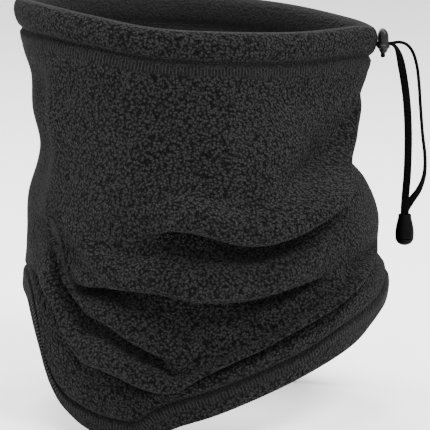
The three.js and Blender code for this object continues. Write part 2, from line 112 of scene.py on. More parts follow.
class Wire:
    """A shader socket; arithmetic on it adds Math nodes."""

    def __init__(self, finish, socket):
        self.finish = finish
        self.socket = socket

    def _with(self, operation, first, second=None):
        values = {0: first}
        if second is not None:
            values[1] = second
        return self.finish.node("ShaderNodeMath", {"operation": operation}, values)

    def __add__(self, other):
        return self._with("ADD", self, other)

    def __radd__(self, other):
        return self._with("ADD", other, self)

    def __sub__(self, other):
        return self._with("SUBTRACT", self, other)

    def __rsub__(self, other):
        return self._with("SUBTRACT", other, self)

    def __mul__(self, other):
        return self._with("MULTIPLY", self, other)

    def __rmul__(self, other):
        return self._with("MULTIPLY", other, self)

    def __truediv__(self, other):
        return self._with("DIVIDE", self, other)

    def math(self, operation, other=None):
        return self._with(operation, self, other)

    def output(self, index):
        """Another output of the same node."""
        return Wire(self.finish, self.socket.node.outputs[index])


class Finish:
    """A material in the making: every node comes from node()."""

    def __init__(self, name):
        self.material = bpy.data.materials.new(name)
        self.material.use_nodes = True
        self.tree = self.material.node_tree
        self.tree.nodes.clear()

    def node(self, kind, settings=None, inputs=None, output=0):
        node = self.tree.nodes.new(kind)
        for key, value in (settings or {}).items():
            if key == "stops":
                self._set_stops(node.color_ramp, value)
            else:
                setattr(node, key, value)
        for key, value in (inputs or {}).items():
            if isinstance(value, Wire):
                self.tree.links.new(value.socket, node.inputs[key])
            else:
                node.inputs[key].default_value = value
        return Wire(self, node.outputs[output]) if node.outputs else None

    @staticmethod
    def _set_stops(ramp, stops):
        for place, colour in stops[2:]:
            ramp.elements.new(place)
        for element, (place, colour) in zip(ramp.elements, stops):
            element.position = place
            element.color = (*colour, 1)

    def ramp(self, factor, stops):
        return self.node("ShaderNodeValToRGB", {"stops": stops}, {"Fac": factor})

    def mix(self, factor, first, second):
        settings = {"data_type": "RGBA"}
        return self.node("ShaderNodeMix", settings, {0: factor, 6: first, 7: second}, output=2)

    def noise(self, coordinates, scale, detail=2.0, roughness=0.5, distortion=0.0):
        inputs = {
            "Vector": coordinates,
            "Scale": scale,
            "Detail": detail,
            "Roughness": roughness,
            "Distortion": distortion,
        }
        return self.node("ShaderNodeTexNoise", {"noise_dimensions": "3D"}, inputs)

    def place(self):
        return self.node("ShaderNodeTexCoord", output="Object")

    def bump(self, height, distance, strength=1.0):
        inputs = {"Height": height, "Distance": distance, "Strength": strength}
        return self.node("ShaderNodeBump", {}, inputs)

    def done(self, **sockets):
        names = {key.replace("_", " "): value for key, value in sockets.items()}
        shader = self.node("ShaderNodeBsdfPrincipled", {}, names)
        self.node("ShaderNodeOutputMaterial", {}, {"Surface": shader})
        return self.material


def grey(value):
    """A neutral colour, in linear light."""
    return (value, value, value, 1)


# ---------------------------------------------------------------------------------------------
# Materials
# ---------------------------------------------------------------------------------------------


def fleece_finish():
    """Pebbled polar fleece: small curled tufts with painted shade in the gaps between them and painted light
    on their tips, smoother on the inside, flat where sewn and darkened there with painted shade.
    """
    finish = Finish("charcoal_fleece")
    here = finish.place()
    pile = finish.node("ShaderNodeAttribute", {"attribute_name": "pile"}).output(2)
    sewn = finish.node("ShaderNodeAttribute", {"attribute_name": "sewn"}).output(2)
    swirl = finish.noise(here, 620, 2.0).output(1)
    bend = {0: swirl, 1: (0.0012, 0.0012, 0.0012), 2: here}
    bent = finish.node("ShaderNodeVectorMath", {"operation": "MULTIPLY_ADD"}, bend)
    cells = {"Vector": bent, "Scale": 800.0, "Smoothness": 0.2, "Randomness": 1.0}
    tufts = finish.node("ShaderNodeTexVoronoi", {"feature": "SMOOTH_F1"}, cells)
    curls = finish.noise(bent, 1500, 2.0, 0.6, 0.4)
    fibres = finish.noise(here, 4200, 2.0, 0.7)
    worn = finish.noise(here, 26, 3.0, 0.55)
    height = (1 - tufts) * 0.9 + curls * 0.5 + fibres * 0.08
    # The outer face's colour follows the tufts' height: painted shade in the gaps, painted light on the
    # tips, with a little random tone from worn.
    painted_tuft_shade_and_tone = finish.ramp(
        height + (worn - 0.5) * 0.08,
        [(0.56, (0.0005, 0.0005, 0.0006)), (0.76, (0.0060, 0.0060, 0.0062)),
         (0.97, (0.0165, 0.0165, 0.0168))],
    )
    backing = finish.ramp(
        curls * 0.6 + worn * 0.4, [(0.2, (0.0110, 0.0110, 0.0115)), (0.9, (0.0175, 0.0175, 0.0180))]
    )
    shade = finish.mix(pile, backing, painted_tuft_shade_and_tone)
    return finish.done(
        # Where sewn, the colour is mixed towards near-black: painted shade in the stitch creases along the
        # needle lines, weaker across the cover-stitch bands.
        Base_Color=finish.mix(sewn * 0.92, shade, (0.0004, 0.0004, 0.0005, 1)),
        Roughness=0.95,
        Specular_IOR_Level=0.03,
        Sheen_Weight=0.03,
        Sheen_Roughness=0.5,
        Sheen_Tint=grey(0.75),
        Normal=finish.bump(height * pile, 0.0022, 1.0),
    )


def thread_finish():
    """Twisted polyester sewing thread, a little shinier than the cloth."""
    finish = Finish("sewing_thread")
    here = finish.place()
    twist = finish.noise(here, 2400, 2.0, 0.6)
    return finish.done(
        Base_Color=finish.ramp(twist, [(0.3, (0.0016, 0.0016, 0.0017)), (0.8, (0.0058, 0.0058, 0.0060))]),
        Roughness=0.6,
        Specular_IOR_Level=0.2,
        Normal=finish.bump(twist, 0.0002, 0.8),
    )


BRAID_PITCH = 2.1 * MM


def braid_finish():
    """Flat braid: slanting strands that cross over in a herringbone, from the piece's own UV in metres."""
    finish = Finish("black_braid")
    uv = finish.node("ShaderNodeUVMap", {"uv_map": "braid"})
    across = finish.node("ShaderNodeSeparateXYZ", {}, {0: uv})
    along = across.output(1)
    lean = (across.math("PINGPONG", 0.5) * 2.0) * 1.4
    waves = ((along / BRAID_PITCH) + lean) * (2 * math.pi)
    ridge = waves.math("SINE") * 0.5 + 0.5
    crossing = (across * (8 * math.pi)).math("SINE") * 0.5 + 0.5
    fuzz = finish.noise(finish.place(), 3000, 2.0, 0.6)
    height = ridge * 0.7 + crossing * 0.2 + fuzz * 0.15
    return finish.done(
        # The colour follows the weave's height: painted shade in the grooves between strands, painted light
        # on the ridges.
        Base_Color=finish.ramp(height, [(0.1, (0.0002, 0.0002, 0.0003)), (1.0, (0.0012, 0.0011, 0.0014))]),
        Roughness=0.9,
        Specular_IOR_Level=0.03,
        Normal=finish.bump(height, 0.00035, 0.9),
    )


def plastic_finish(name, dark, light, rough, shine):
    """Moulded acetal with a faint orange-peel skin, rubbed a little in random patches."""
    finish = Finish(name)
    here = finish.place()
    skin = finish.noise(here, 2600, 2.0, 0.5)
    rubbed = finish.noise(here, 420, 3.0, 0.6)
    return finish.done(
        Base_Color=finish.ramp(rubbed, [(0.35, dark), (0.75, light)]),
        Roughness=finish.node(
            "ShaderNodeMapRange", {}, {0: rubbed, 1: 0.3, 2: 0.7, 3: rough + 0.06, 4: rough - 0.06}
        ),
        Specular_IOR_Level=shine,
        Normal=finish.bump(skin, 0.00006, 0.6),
    )


def steel_finish():
    finish = Finish("spring_wire")
    drawn = finish.noise(finish.place(), 1800, 3.0, 0.6)
    return finish.done(
        Base_Color=grey(0.55),
        Metallic=1.0,
        Roughness=finish.node("ShaderNodeMapRange", {}, {0: drawn, 1: 0.3, 2: 0.7, 3: 0.22, 4: 0.42}),
    )


def floor_finish():
    finish = Finish("studio_floor")
    speck = finish.noise(finish.place(), 6, 2.0)
    return finish.done(
        Base_Color=finish.ramp(speck, [(0.2, (0.90, 0.90, 0.90)), (0.8, (0.93, 0.93, 0.93))]),
        Roughness=0.9,
        Specular_IOR_Level=0.1,
    )


# ---------------------------------------------------------------------------------------------
# Mesh helpers
# ---------------------------------------------------------------------------------------------


def finished(name, work, material, smooth=True):
    """Turns a bmesh into a named object with its material."""
    mesh = bpy.data.meshes.new(name)
    for face in work.faces:
        face.smooth = smooth
    work.to_mesh(mesh)
    work.free()
    mesh.materials.append(material)
    piece = bpy.data.objects.new(name, mesh)
    bpy.context.scene.collection.objects.link(piece)
    return piece


def coordinates(work):
    for part in (work.verts, work.edges, work.faces):
        part.ensure_lookup_table()
    return np.array([vertex.co for vertex in work.verts])


def put(work, places):
    for vertex, place in zip(work.verts, places):
        vertex.co = place


def spun(profile, steps, closed=False):
    """A profile of (radius, height) points turned once round the Z axis."""
    work = bmesh.new()
    corners = [work.verts.new((radius, 0, height)) for radius, height in profile]
    ends = corners[1:] + corners[:1] if closed else corners[1:]
    edges = [work.edges.new(pair) for pair in zip(corners, ends)]
    bmesh.ops.spin(
        work, geom=corners + edges, cent=(0, 0, 0), axis=(0, 0, 1),
        angle=2 * math.pi, steps=steps, use_merge=True, use_duplicate=False,
    )
    bmesh.ops.remove_doubles(work, verts=work.verts, dist=1e-7)
    bmesh.ops.recalc_face_normals(work, faces=work.faces)
    return work


def swept(stations, section_sides, half_width, half_thick):
    """A closed flat tube through stations of (centre, width direction), with a UV in metres along it."""
    work = bmesh.new()
    circle = bmesh.ops.create_circle(work, segments=section_sides, radius=1, cap_ends=True)
    ring = list({edge for vertex in circle["verts"] for edge in vertex.link_edges})
    for _ in stations[1:]:
        grown = bmesh.ops.extrude_edge_only(work, edges=ring)["geom"]
        raised = [part for part in grown if isinstance(part, bmesh.types.BMVert)]
        bmesh.ops.translate(work, verts=raised, vec=(0, 0, 1))
        ring = [g for g in grown if isinstance(g, bmesh.types.BMEdge) and len(g.link_faces) == 1]
    bmesh.ops.contextual_create(work, geom=ring)
    centres = np.array([centre for centre, _ in stations])
    lengths = np.concatenate([[0], np.cumsum(np.linalg.norm(np.diff(centres, axis=0), axis=1))])
    uv = work.loops.layers.uv.new("braid")
    for face in work.faces:
        angles = [math.atan2(loop.vert.co.y, loop.vert.co.x) / (2 * math.pi) for loop in face.loops]
        wraps = max(angles) - min(angles) > 0.5
        for loop, angle in zip(face.loops, angles):
            turn = angle + 1 if wraps and angle < 0 else angle
            loop[uv].uv = (turn, lengths[round(loop.vert.co.z)])
    along = np.gradient(centres, axis=0)
    along /= np.linalg.norm(along, axis=1)[:, None]
    for vertex in work.verts:
        row = round(vertex.co.z)
        ahead = Vector(along[row])
        wide = Vector(stations[row][1])
        wide = (wide - ahead * wide.dot(ahead)).normalized()
        thick = ahead.cross(wide)
        offset = wide * (vertex.co.x * half_width) + thick * (vertex.co.y * half_thick)
        vertex.co = Vector(centres[row]) + offset
    bmesh.ops.recalc_face_normals(work, faces=work.faces)
    return work


def through(points):
    """A smooth function through (place, value) points, level past both ends."""
    places = np.array([place for place, _ in points], float)
    values = np.array([value for _, value in points], float)
    t = np.concatenate([[2 * places[0] - places[1]], places, [2 * places[-1] - places[-2]]])
    v = np.concatenate([[values[1]], values, [values[-2]]])

    def at(place):
        place = np.clip(place, places[0], places[-1])
        i = np.clip(np.searchsorted(t, place, side="right") - 1, 1, len(places) - 1)
        step = t[i + 1] - t[i]
        p = (place - t[i]) / step
        before = 0.5 * step / (t[i] - t[i - 1])
        after = 0.5 * step / (t[i + 2] - t[i + 1])
        square, cube = p * p, p * p * p
        return (
            v[i - 1] * (-before * cube + 2 * before * square - before * p)
            + v[i] * ((1 + before) * cube + (-1.5 - 2 * before) * square + (before - 0.5) * p + 1)
            + v[i + 1] * ((-1 - after) * cube + (1.5 + after) * square + 0.5 * p)
            + v[i + 2] * (after * cube - after * square)
        )

    return at


def around_through(points):
    """A smooth function through (degrees, value) points that closes on itself round the tube."""
    turned = [[(degrees + turn, value) for degrees, value in points] for turn in (-360, 0, 360)]
    return through(turned[0] + turned[1] + turned[2])


# ---------------------------------------------------------------------------------------------
# The cord: its strands, its lock and its end
# ---------------------------------------------------------------------------------------------

lock_low, lock_high = (Vector(corner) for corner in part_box("lock_barrel"))
end_low, end_high = (Vector(corner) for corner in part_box("cord_end_bell"))
plug_low, plug_high = (Vector(corner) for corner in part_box("cord_end_plug"))
spring_low, spring_high = (Vector(corner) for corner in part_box("lock_spring"))
plunger_low, plunger_high = (Vector(corner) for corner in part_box("lock_plunger"))
strand_low = Vector(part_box("cord_strand_front")[0])

LOCK_SPREAD = 3.4 * MM
LOCK_HOLE_DEPTH = 7.3 * MM
CORD_HALF_WIDTH = 1.9 * MM
CORD_HALF_THICK = 0.8 * MM
lock_place = Vector(((lock_low.x + lock_high.x) / 2, 0, lock_high.z))
tip = Vector((strand_low.x - 0.3 * MM, 0, lock_high.z - LOCK_HOLE_DEPTH))

# Routes of the two strands beyond the lock, from the middle of the lock's cord hole, in millimetres:
# x, y, z, and how far the cord is twisted there, in degrees from lying flat
FRONT_STRAND = [
    (-3.7, -2.05, 0, 0), (0, -2.05, 0, 0), (3.9, -2.05, 0, 0),
    (6, -2.1, -1.6, 20), (7.7, -2.3, -5.4, 55), (9, -2.6, -11, 90), (10.6, -2.9, -20, 90),
    (11.8, -3, -30, 90), (12.5, -2.9, -42, 90), (12.6, -2.6, -54, 90), (12.3, -2.2, -65, 90),
    (11.6, -1.6, -75, 90), (11.3, -1.1, -82, 90), (11.3, -1.1, -87, 90),
]
BACK_STRAND = [
    (-3.7, 2.05, 0, 0), (0, 2.05, 0, 0), (3.9, 2.05, 0, 0),
    (8, 2.1, 0.5, 0), (11.6, 2.3, -0.6, 0), (14.6, 2.6, -4.2, 0), (16.8, 3, -11, 5),
    (18, 3.3, -20, 8), (18.8, 3.5, -30, 10), (20, 3.5, -44, 12), (21.4, 3.2, -56, 18),
    (21, 2.7, -65, 30), (18.4, 2.1, -72, 55), (14.4, 1.6, -77.6, 80), (11.9, 1.1, -82, 90),
    (11.9, 1.1, -87, 90),
]
STRAND_STEPS = 110
TURNED_STEPS = 48
LEAD = [1.8, 1.2, 0.6, 0.3, 0.15]  # rings of cord inside the rim, before its exit


def strand_stations(route):
    """Centres and width directions of a strand, from inside the rim to inside the cord end."""
    origin = Vector((lock_place.x, 0, tip.z))
    places = np.array([[x, y, z] for x, y, z, _ in route]) * MM + np.array(origin)
    spans = np.sqrt(np.linalg.norm(np.diff(places, axis=0), axis=1))
    knots = np.concatenate([[0], np.cumsum(spans)])
    paths = [through(list(zip(knots, places[:, axis]))) for axis in range(3)]
    fine = np.linspace(0, knots[-1], 900)
    line = np.stack([path(fine) for path in paths], axis=1)
    length = np.concatenate([[0], np.cumsum(np.linalg.norm(np.diff(line, axis=0), axis=1))])
    even = np.interp(np.linspace(0, length[-1], STRAND_STEPS), length, fine)
    centres = np.stack([path(even) for path in paths], axis=1)
    twist = through(list(zip(knots, [turn for *_, turn in route])))(even)
    ahead = np.gradient(centres, axis=0)
    stations = []
    for inside in LEAD:
        stations.append((Vector(centres[0]) - Vector((inside * MM, 0, 0)), Vector((0, 1, 0))))
    for centre, direction, turn in zip(centres, ahead, twist):
        wide = Matrix.Rotation(math.radians(turn), 3, Vector(direction)) @ Vector((0, 1, 0))
        stations.append((Vector(centre), wide))
    return stations


def make_strand(name, route, braid):
    stations = strand_stations(route)
    work = swept(stations, 16, CORD_HALF_WIDTH, CORD_HALF_THICK)
    strand = finished(name, work, braid)
    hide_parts(name)
    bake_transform(strand)
    return strand, [tuple(centre) for centre, _ in stations]


def oval(work, steps, share_at=lambda height: 1):
    """Turns a round piece by half a step and pulls its halves apart along Y, by a share at each height."""
    bmesh.ops.rotate(work, verts=work.verts, matrix=Matrix.Rotation(math.pi / steps, 3, "Z"))
    for vertex in work.verts:
        if abs(vertex.co.y) > 1e-7:
            vertex.co.y += math.copysign(LOCK_SPREAD * share_at(vertex.co.z), vertex.co.y)


def rounded(profile, radius, steps=3):
    """The (radius, height) profile with its inner corners rounded."""
    out = [profile[0]]
    for before, corner, after in zip(profile, profile[1:], profile[2:]):
        a, c, b = (np.array(p, float) for p in (before, corner, after))
        reach = min(radius, 0.45 * np.linalg.norm(a - c), 0.45 * np.linalg.norm(b - c))
        start = c + (a - c) / np.linalg.norm(a - c) * reach
        stop = c + (b - c) / np.linalg.norm(b - c) * reach
        for share in np.linspace(0, 1, steps + 1):
            out.append(tuple((1 - share) ** 2 * start + 2 * share * (1 - share) * c + share**2 * stop))
    out.append(profile[-1])
    return out


def turned_piece(name, profile, material, place):
    """A turned piece of (radius, height) millimetres about a place."""
    work = spun([(radius * MM, height * MM) for radius, height in profile], TURNED_STEPS)
    bmesh.ops.translate(work, verts=work.verts, vec=place)
    return finished(name, work, material)


def plastic_part(piece, node, body):
    """A moulded piece that shows for a CAD node and rides on a body."""
    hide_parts(node)
    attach(piece, body)
    return piece


def make_lock(plastic):
    """The barrel: a domed oval with a collar below the cord hole and a taper to its open end."""
    height = (lock_high.z - lock_low.z) / MM
    outside = [
        (1.2, -height), (1.5, -height), (1.75, -height + 0.5), (2.3, -height + 1.9), (2.9, -9.2),
        (3.1, -8.4),
        (3.05, -7.9), (2.6, -7.4), (2.45, -6.8), (2.5, -4.6), (2.4, -3.2), (2.15, -2.1), (1.75, -1.2),
        (1.2, -0.5), (0.6, -0.12), (0, 0),
    ]
    inside = [(0, -1.3), (1.3, -2.2), (1.3, -height + 0.6)]
    profile = rounded(inside[:0:-1][::-1] + outside, 0.35)
    work = spun([(radius * MM, z * MM) for radius, z in [(0, -1.3)] + profile], TURNED_STEPS)
    oval(work, TURNED_STEPS)
    bmesh.ops.translate(work, verts=work.verts, vec=lock_place)
    return plastic_part(finished("cord_lock_barrel", work, plastic), "lock_barrel", "cord_lock")


def make_plunger(plastic):
    low, high = (plunger_low.z - lock_high.z) / MM, (plunger_high.z - lock_high.z) / MM
    floor = low + 3.4
    profile = rounded(
        [(0, low), (0.85, low + 0.1), (1.15, low + 0.7), (1.05, floor - 0.5), (1.1, floor), (1.1, high),
         (0, high)], 0.3,
    )
    steps = 40
    work = spun([(radius * MM, z * MM) for radius, z in profile], steps)
    oval(work, steps, lambda height: min(1, max(0, (height / MM - floor + 0.4) / 0.8)))
    bmesh.ops.translate(work, verts=work.verts, vec=lock_place)
    return plastic_part(finished("cord_lock_plunger", work, plastic), "lock_plunger", "plunger")


def make_spring(steel):
    turns, per_turn, wire = 3.5, 24, 0.2 * MM
    radius = (spring_high.x - spring_low.x) / 2 - wire
    steps = int(turns * per_turn)
    middle = Vector((lock_place.x, 0, 0))
    stations = []
    for i in range(steps + 1):
        turn = 2 * math.pi * i / per_turn
        height = spring_low.z + wire + (spring_high.z - spring_low.z - 2 * wire) * i / steps
        out = Vector((math.cos(turn), math.sin(turn), 0))
        stations.append((middle + out * radius + Vector((0, 0, height)), out))
    spring = finished("cord_lock_spring", swept(stations, 8, wire, wire), steel)
    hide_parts("lock_spring")
    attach(spring, "cord_lock")
    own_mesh(spring)
    return spring


def make_cord_end(plastic):
    """The egg-shaped bell over the knot, and the plug that closes it."""
    middle = Vector(((end_low.x + end_high.x) / 2, 0, end_high.z))
    parting = (end_high.z - end_low.z) / MM
    bell_profile = [
        (2.7, -0.5), (2.85, -0.08), (3.05, 0.0), (3.2, -0.3), (3.2, -1.1), (3.35, -2.2), (3.75, -3.8),
        (4.2, -5.8), (4.5, -7.8), (4.6, -9.4), (4.55, -parting + 0.5), (4.5, -parting + 0.1),
        (4.35, -parting), (4.0, -parting), (3.8, -9.4), (3.3, -6), (2.7, -2), (2.7, -0.5),
    ]
    bell = turned_piece("cord_end_bell_shell", bell_profile, plastic, middle)
    bottom = -(end_high.z - plug_low.z) / MM
    top = -(end_high.z - plug_high.z) / MM
    seat = -parting - 0.3
    plug_profile = [
        (0, bottom), (1.0, bottom + 0.08), (2.1, bottom + 0.38), (3.1, bottom + 0.95), (3.8, bottom + 1.7),
        (4.25, bottom + 2.6), (4.48, seat - 0.2), (4.42, seat), (3.7, seat), (3.7, top + 0.2), (3.5, top),
        (0, top),
    ]
    plug = turned_piece("cord_end_plug_cap", plug_profile, plastic, middle)
    plastic_part(bell, "cord_end_bell", "cord_lock")
    plastic_part(plug, "cord_end_plug", "cord_lock")
    return bell, plug


# ---------------------------------------------------------------------------------------------
# The fleece tube
# ---------------------------------------------------------------------------------------------

tube_high = Vector(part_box("fleece_tube")[1])
RIM_HEIGHT = tube_high.z / MM
HALF_WIDTH = tube_high.x / MM
HALF_DEPTH = 84
CLOTH = 2.2
TOP_STITCH = 14.5
TOP_LADDER_TOP, TOP_LADDER_BOTTOM = 16.0, 21.0
TOP_BAND = 26
BOTTOM_STITCH = 13
BOTTOM_LADDER_TOP, BOTTOM_LADDER_BOTTOM = 11.5, 6.5
BOTTOM_BAND = 19
SEAM_DEGREES = 90

COLUMNS = 300
MIDDLE_ROWS = 140
degrees_of = np.arange(COLUMNS) * 360 / COLUMNS

rim_dip = around_through([
    (-180, 0), (-150, 1), (-125, 5), (-105, 9.5), (-80, 12), (-55, 13.7), (-25, 13.2),
    (0, 14.5), (30, 11), (60, 6), (90, 3), (135, 1),
])
hem_rise = around_through([
    (-180, 60), (-163, 58.5), (-155, 47), (-150.5, 35.5), (-148, 23), (-144.5, 13), (-140, 6),
    (-134, 2.5), (-129, 0.3), (-125, -1), (-110, -1), (-105, 4), (-98.5, 8.5), (-85, 14.5), (-70, 22),
    (-48, 32.5), (-24, 42), (0, 54), (20, 50), (34, 30), (44, 9), (51, -1), (90, -1), (132, -1),
    (140, 4), (147, 20), (153, 42), (163, 57),
])
# How much taller the sewn bottom edge stands where it is pulled round to the lock side
hem_widening = around_through([
    (-180, 1), (-70, 1), (-52, 1.05), (-36, 1.4), (-15, 1.45), (15, 1.2), (50, 1), (120, 1),
])
left_inset = through([
    (0, 16.5), (15, 9), (40, 4), (66, 5), (90, 7.5), (110, 8.5), (125, 12), (135, 13), (150, 10.5),
    (168, 10.5), (179, 6.5), (191, 4.5), (204, 2.5),
])
right_inset = through([
    (0, 16), (20, 12), (45, 6), (58, 0), (72, 0.5), (81, 6), (89, 4), (100, 4.5), (115, 11), (128, 22),
    (140, 20.5), (152, 15.5), (165, 11), (180, 7.5), (190, 6.3),
])
depth_inset = through([(0, 6), (60, 2), (120, 0), (170, 6), (204, 10)])
tip_pinch = through([(110, 0), (140, 0.3), (165, 0.6)])
PINCH_SHARPNESS = 3

# The lines that the slouch folds hang over, from the top down, and how full each fold is: 0 to 1
SWAG_LINE = around_through([
    (-180, 112), (-150, 110), (-130, 106), (-118, 101), (-110, 100), (-104, 101.5), (-97.5, 104),
    (-90.5, 103.5), (-85, 101), (-78.5, 98), (-71, 97.5), (-62.5, 100.5), (-54, 105), (-44.5, 111),
    (-35, 118), (-27, 125), (-22, 132), (-16, 139), (-8, 142), (0, 142), (20, 136), (50, 124), (90, 114),
    (120, 112), (150, 112),
])
SWAG_FILL = around_through([
    (-180, 0), (-130, 0), (-112, 0.03), (-106, 0.2), (-100, 0.55), (-94, 0.9), (-88, 1), (-50, 1), (-32, 1),
    (-22, 1), (-12, 0.5), (0, 0.1), (30, 0.5), (60, 0.8), (100, 0.85), (130, 0.5), (155, 0.1),
])
LAP_LINE = around_through([
    (-180, 108), (-158, 107), (-145, 104), (-141, 95), (-137, 83), (-132, 74.5), (-129, 75), (-124, 76),
    (-114, 76), (-105, 75), (-99, 72.5), (-93, 71.5), (-86, 71), (-79, 71.5), (-71, 73.5), (-63, 76),
    (-54.5, 77.5), (-46, 79), (-38, 84), (-28, 90), (-19, 95), (0, 99), (30, 96), (60, 88), (90, 84),
    (120, 88), (150, 98),
])
LAP_FILL = around_through([
    (-180, 0), (-134, 0), (-131, 0.45), (-127, 0.9), (-121, 1), (-72, 1), (-60, 0.85), (-52, 0.5),
    (-46, 0.15), (-42, 0), (0, 0), (30, 0.3), (60, 0.7), (100, 0.75), (130, 0.5), (155, 0.1),
])
FLAP_LINE = around_through([
    (-180, 100), (-155, 102), (-146, 101.5), (-143, 99), (-140.2, 89.5), (-136.2, 77.5), (-131.5, 69),
    (-126, 63), (-119.2, 59), (-112.8, 53), (-106, 47.5), (-101, 41), (-98.5, 35.5), (-95, 35.5),
    (-90, 40), (-80, 47), (-70, 53.5), (-61, 61), (-51, 68), (-43, 74.5), (-34, 80), (-24, 85), (0, 90),
    (30, 80), (60, 66), (90, 62), (120, 68), (150, 88),
])
FLAP_FILL = around_through([
    (-180, 0), (-162, 0.05), (-153, 0.35), (-146, 0.75), (-141, 1), (-136, 1), (-106, 1), (-102, 0.85),
    (-98, 0.35), (-94, 0), (0, 0), (30, 0.2), (60, 0.6), (90, 0.7), (130, 0.5), (155, 0.1),
])
BAND_LINE = around_through([
    (-180, 84), (-165, 80), (-154, 75), (-145.5, 72.5), (-140.2, 65.5), (-137, 57), (-132.5, 48),
    (-127.2, 40.5), (-122, 38), (-115.2, 35), (-109.2, 30.5), (-104.2, 28.5), (-98.2, 28), (-95, 30),
    (-90, 35), (-80, 42.5), (-70.5, 48.5), (-61.5, 56), (-51, 63.5), (-43, 70), (-34, 75.5), (-24.5, 79.5),
    (-12, 82), (0, 82), (25, 72), (45, 54), (65, 43), (90, 39), (120, 42), (140, 54), (152, 72),
])
BAND_FILL = around_through([
    (-180, 0), (-162, 0.2), (-153, 0.5), (-147, 0.8), (-141, 1), (-100, 1), (-60, 1), (-28, 0.9),
    (-15, 0.6), (-4, 0.2), (12, 0.2), (45, 0.6), (70, 0.8), (110, 0.8), (140, 0.6), (155, 0.2),
])

# One fold from its swell, over its lip, into the tuck below: push out, height with no fill, height when full
FOLD_SHAPE = [
    (4.5, 13, 13), (7.5, 7, 6), (8.0, 3, 0.5), (5.0, 0, -2.6), (-2.5, -1.5, 0.2), (-9.0, -3, 3.8),
    (-10.5, -5, 1.0), (-8.0, -8, -4.5), (-3.5, -11, -9),
]
FOLDS = [
    (SWAG_LINE, SWAG_FILL, 1.15),
    (LAP_LINE, LAP_FILL, 0.95),
    (FLAP_LINE, FLAP_FILL, 0.8),
    (BAND_LINE, BAND_FILL, 0.85),
]


def outline(degrees, height):
    """X and Y of the unfolded outline of the tube, seen from above, in millimetres."""
    turn = np.radians(degrees)
    across = np.cos(turn)
    inset = np.where(across < 0, left_inset(height), right_inset(height))
    narrowing = 1 - tip_pinch(height) * ((1 + across) / 2) ** PINCH_SHARPNESS
    depth = (HALF_DEPTH - depth_inset(height)) * np.sin(turn) * narrowing
    return np.stack([(HALF_WIDTH - inset) * across, depth], axis=-1)


def pushed(degrees, height, push):
    """The place on the outline at a height, moved straight out by push."""
    tangent = outline(degrees + 1, height) - outline(degrees - 1, height)
    tangent /= np.linalg.norm(tangent, axis=-1, keepdims=True)
    flat = outline(degrees, height)
    x = flat[..., 0] + tangent[..., 1] * push
    y = flat[..., 1] - tangent[..., 0] * push
    return np.stack([x, y, height], axis=-1)


def spline(controls, samples):
    """A uniform cubic B-spline through its end points, as evenly spaced samples."""
    padded = np.vstack([controls[:1]] * 2 + [controls] + [controls[-1:]] * 2)
    u = np.linspace(0, len(padded) - 3 - 1e-9, 14 * len(padded))
    i = u.astype(int)
    f = (u - i)[:, None]
    line = (
        padded[i] * (1 - f) ** 3
        + padded[i + 1] * (3 * f**3 - 6 * f**2 + 4)
        + padded[i + 2] * (-3 * f**3 + 3 * f**2 + 3 * f + 1)
        + padded[i + 3] * f**3
    ) / 6
    steps = np.linalg.norm(np.diff(line, axis=0), axis=1)
    length = np.concatenate([[0], np.cumsum(steps)])
    even = np.linspace(0, length[-1], samples)
    return np.stack([np.interp(even, length, line[:, axis]) for axis in range(2)], axis=1)


def fold_controls(degrees):
    """Control points of (push, height) down one line of the tube, from the top band to the bottom one."""
    top = RIM_HEIGHT - rim_dip(degrees) - TOP_BAND
    bottom = hem_rise(degrees) + BOTTOM_BAND * hem_widening(degrees)
    lines = [float(line(degrees)) for line, _, _ in FOLDS]
    fills = [float(np.clip(fill(degrees), 0, 1)) for _, fill, _ in FOLDS]
    controls = [(0, top), (0, top - 3)]
    clear = lines[0] + 3 + min(13, 0.55 * (top - lines[0]))
    controls += [(0, height) for height in np.linspace(top - 3, clear, 7)[1:]]
    for k, (height, fill, (_, _, depth)) in enumerate(zip(lines, fills, FOLDS)):
        above = (lines[k - 1] if k else top) - height
        below = height - (lines[k + 1] if k < 3 else bottom)
        for push, loose, full in FOLD_SHAPE:
            rise = loose + (full - loose) * fill
            room = above if rise > 0 else below
            limit = 0.55 * max(room, 1.5) / 13
            scale = min(1, limit) if abs(rise) > 5 or fill < 0.2 else 1
            controls.append((push * fill * depth, height + rise * scale))
    controls += [(0, bottom + 1.5), (0, bottom)]
    return np.array(controls)


def smooth_around(values, passes):
    for _ in range(passes):
        values = (np.roll(values, 1, axis=0) + 2 * values + np.roll(values, -1, axis=0)) / 4
    return values


def blob(degrees, height, centre, middle, wide, tall, slant=0.0):
    """A soft round swell of 1 at a place on the cloth; slant leans it up towards the lock side."""
    across = (degrees - centre + 180) % 360 - 180
    up = height - middle - slant * across
    return np.exp(-((across / wide) ** 2) - (up / tall) ** 2)


